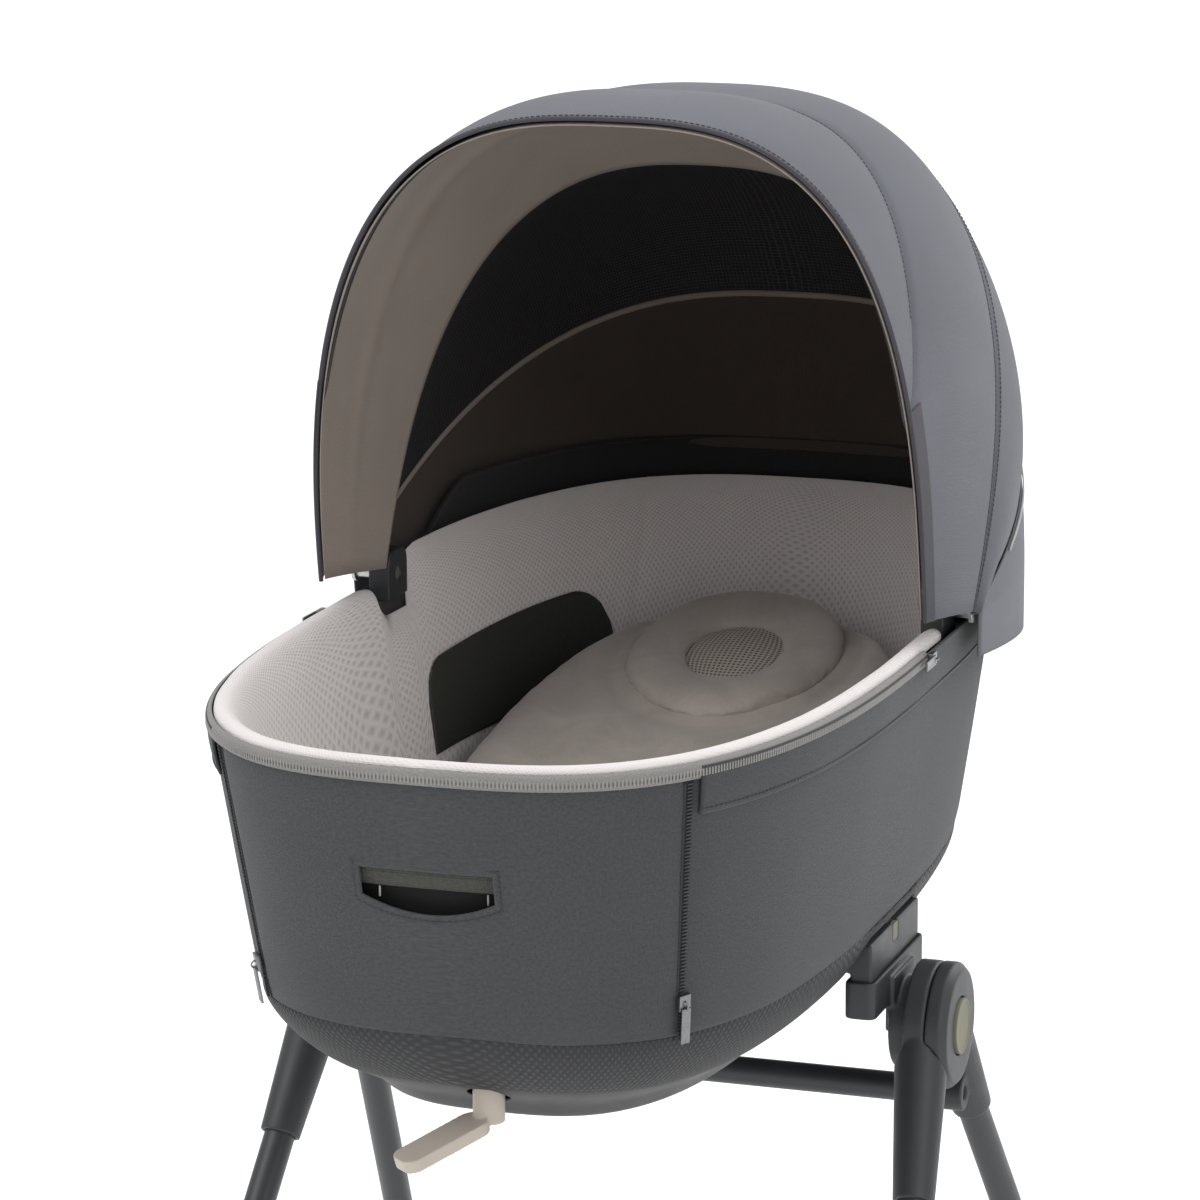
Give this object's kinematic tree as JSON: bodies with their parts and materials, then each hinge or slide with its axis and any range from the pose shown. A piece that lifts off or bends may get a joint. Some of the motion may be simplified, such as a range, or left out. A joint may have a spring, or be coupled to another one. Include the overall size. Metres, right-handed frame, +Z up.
{
  "type": "bassinet on folding stand",
  "caption": "Fabric bassinet with a folding hood and a recline bed, lifted on and off a folding four-legged stand.",
  "frame": {"origin": "on the floor, under the middle of the whole object's box", "axes": "+Z up, +Y towards the head end and the hood, +X to the right seen from the foot end"},
  "size_m": [0.6124, 0.9338, 1.189],
  "materials": {
    "leg_tube": "satin black-grey paint",
    "stand_plastic": "fine moulded texture, satin",
    "foot_rubber": "matt moulded rubber",
    "steel": "plain drawn steel",
    "button_plastic": "smooth olive-grey moulding",
    "hull_plastic": "fine moulded texture",
    "tub_fabric": "dense melange weave, dark grey",
    "band_fabric": "coarse diamond weave, near black",
    "zip_tape": "woven zip tape",
    "zip_metal": "gunmetal plating",
    "webbing": "ribbed webbing",
    "liner_knit": "spacer knit, off-white",
    "mattress_fabric": "brushed jersey, taupe grey",
    "board_plastic": "plain moulding",
    "lever_finish": "satin champagne coating",
    "hood_fabric": "dense weave, blue grey",
    "bow_plastic": "sprung plastic strip"
  },
  "bodies": {
    "stand_rear": {"rear_leg_left": "leg_tube", "rear_leg_right": "leg_tube", "rear_casing_left": "stand_plastic", "rear_casing_right": "stand_plastic", "rear_feet": "foot_rubber", "rear_floor_bar": "leg_tube", "cross_tube": "leg_tube", "cross_tube_screws": "steel", "hub_pins": "steel", "socket_left": "stand_plastic", "socket_right": "stand_plastic", "button_spring_left": "steel", "button_spring_right": "steel"},
    "stand_front": {"front_leg_left": "leg_tube", "front_leg_right": "leg_tube", "front_casing_left": "stand_plastic", "front_casing_right": "stand_plastic", "front_feet": "foot_rubber", "front_floor_bar": "leg_tube"},
    "tub": {"base_shell": "hull_plastic", "lug_left": "hull_plastic", "lug_right": "hull_plastic", "rim_frame": "hull_plastic", "foot_panel": "tub_fabric", "side_cover": "tub_fabric", "foot_zip_tapes": "zip_tape", "carry_handle": "webbing", "textured_band": "band_fabric", "side_valance": "tub_fabric", "liner": "liner_knit", "rim_zip_tape": "zip_tape", "base_board": "board_plastic", "hinge_rod": "steel", "mattress_foot": "mattress_fabric", "lever_pin": "steel", "pivot_block_left": "hull_plastic", "pivot_block_right": "hull_plastic", "hood_pins": "steel", "hood_rear": "hood_fabric", "hood_zip_tape": "zip_tape"},
    "backrest": {"backrest_board": "board_plastic", "mattress_head": "mattress_fabric", "ring_pillow": "mattress_fabric"},
    "lever": {"recline_lever": "lever_finish"},
    "recline_rod": {"recline_rod": "board_plastic"},
    "hood_middle": {"hood_middle": "hood_fabric", "middle_bow": "bow_plastic"},
    "hood_front": {"hood_front": "hood_fabric", "front_bow": "bow_plastic"},
    "fold_button_left": {"fold_button_left": "button_plastic"},
    "latch_tab_left": {"latch_tab_left": "hull_plastic"},
    "foot_zip_slider_left": {"foot_zip_slider_left": "zip_metal"},
    "rim_zip_slider_left": {"rim_zip_slider_left": "zip_metal"},
    "hood_zip_slider_left": {"hood_zip_slider_left": "zip_metal"},
    "fold_button_right": {"fold_button_right": "button_plastic"},
    "latch_tab_right": {"latch_tab_right": "hull_plastic"},
    "foot_zip_slider_right": {"foot_zip_slider_right": "zip_metal"},
    "rim_zip_slider_right": {"rim_zip_slider_right": "zip_metal"},
    "hood_zip_slider_right": {"hood_zip_slider_right": "zip_metal"}
  },
  "joints": [
    {"name": "front_leg_fold", "type": "hinge", "parent": "stand_rear", "child": "stand_front", "pos_m": [0, -0.024, 0.52], "axis": [1, 0, 0], "range_deg": [0, 55]},
    {"name": "tub_lift", "type": "slide", "parent": "stand_rear", "child": "tub", "axis": [0, 0, 1], "range_m": [0, 0.12]},
    {"name": "hood_middle_fold", "type": "hinge", "parent": "tub", "child": "hood_middle", "pos_m": [0, 0.046, 0.81], "axis": [-1, 0, 0], "range_deg": [0, 40]},
    {"name": "hood_front_fold", "type": "hinge", "parent": "hood_middle", "child": "hood_front", "pos_m": [0, 0.046, 0.81], "axis": [-1, 0, 0], "range_deg": [0, 36]},
    {"name": "backrest_recline", "type": "hinge", "parent": "tub", "child": "backrest", "pos_m": [0, -0.026, 0.613], "axis": [1, 0, 0], "range_deg": [-14.4, 10]},
    {"name": "lever_turn", "type": "hinge", "parent": "tub", "child": "lever", "pos_m": [0.007, -0.348, 0.53], "axis": [0, 0, -1], "range_deg": [-50.4, 35]},
    {"name": "rod_push", "type": "slide", "parent": "tub", "child": "recline_rod", "axis": [0, 1, 0], "range_m": [-0.0126, 0.00875]},
    {"name": "fold_button_left_press", "type": "slide", "parent": "stand_rear", "child": "fold_button_left", "axis": [1, 0, 0], "range_m": [0, 0.003], "stiffness_N_per_m": 400, "springref_m": -0.002, "deforming": ["button_spring_left"]},
    {"name": "latch_tab_left_press", "type": "slide", "parent": "tub", "child": "latch_tab_left", "axis": [1, 0, 0], "range_m": [0, 0.002], "stiffness_N_per_m": 300, "springref_m": -0.001},
    {"name": "fold_button_right_press", "type": "slide", "parent": "stand_rear", "child": "fold_button_right", "axis": [-1, 0, 0], "range_m": [0, 0.003], "stiffness_N_per_m": 400, "springref_m": -0.002, "deforming": ["button_spring_right"]},
    {"name": "latch_tab_right_press", "type": "slide", "parent": "tub", "child": "latch_tab_right", "axis": [-1, 0, 0], "range_m": [0, 0.002], "stiffness_N_per_m": 300, "springref_m": -0.001},
    {"name": "foot_zip_left_run", "type": "slide", "parent": "tub", "child": "foot_zip_slider_left", "axis": [-0.0944, -0.1855, 0.9781], "range_m": [0, 0.13]},
    {"name": "rim_zip_left_run", "type": "slide", "parent": "tub", "child": "rim_zip_slider_left", "axis": [0.025, -0.9997, 0], "range_m": [0, 0.12]},
    {"name": "hood_zip_left_run", "type": "slide", "parent": "tub", "child": "hood_zip_slider_left", "axis": [0.0797, 0.9713, 0.2242], "range_m": [0, 0.08]},
    {"name": "foot_zip_right_run", "type": "slide", "parent": "tub", "child": "foot_zip_slider_right", "axis": [0.0944, -0.1855, 0.9781], "range_m": [0, 0.13]},
    {"name": "rim_zip_right_run", "type": "slide", "parent": "tub", "child": "rim_zip_slider_right", "axis": [-0.025, -0.9997, 0], "range_m": [0, 0.12]},
    {"name": "hood_zip_right_run", "type": "slide", "parent": "tub", "child": "hood_zip_slider_right", "axis": [-0.0797, 0.9713, 0.2242], "range_m": [0, 0.08]}
  ],
  "couplings": [
    {"joint": "lever_turn", "follows": "backrest_recline", "ratio": 3.5},
    {"joint": "rod_push", "follows": "backrest_recline", "m_per_rad": 0.05}
  ]
}
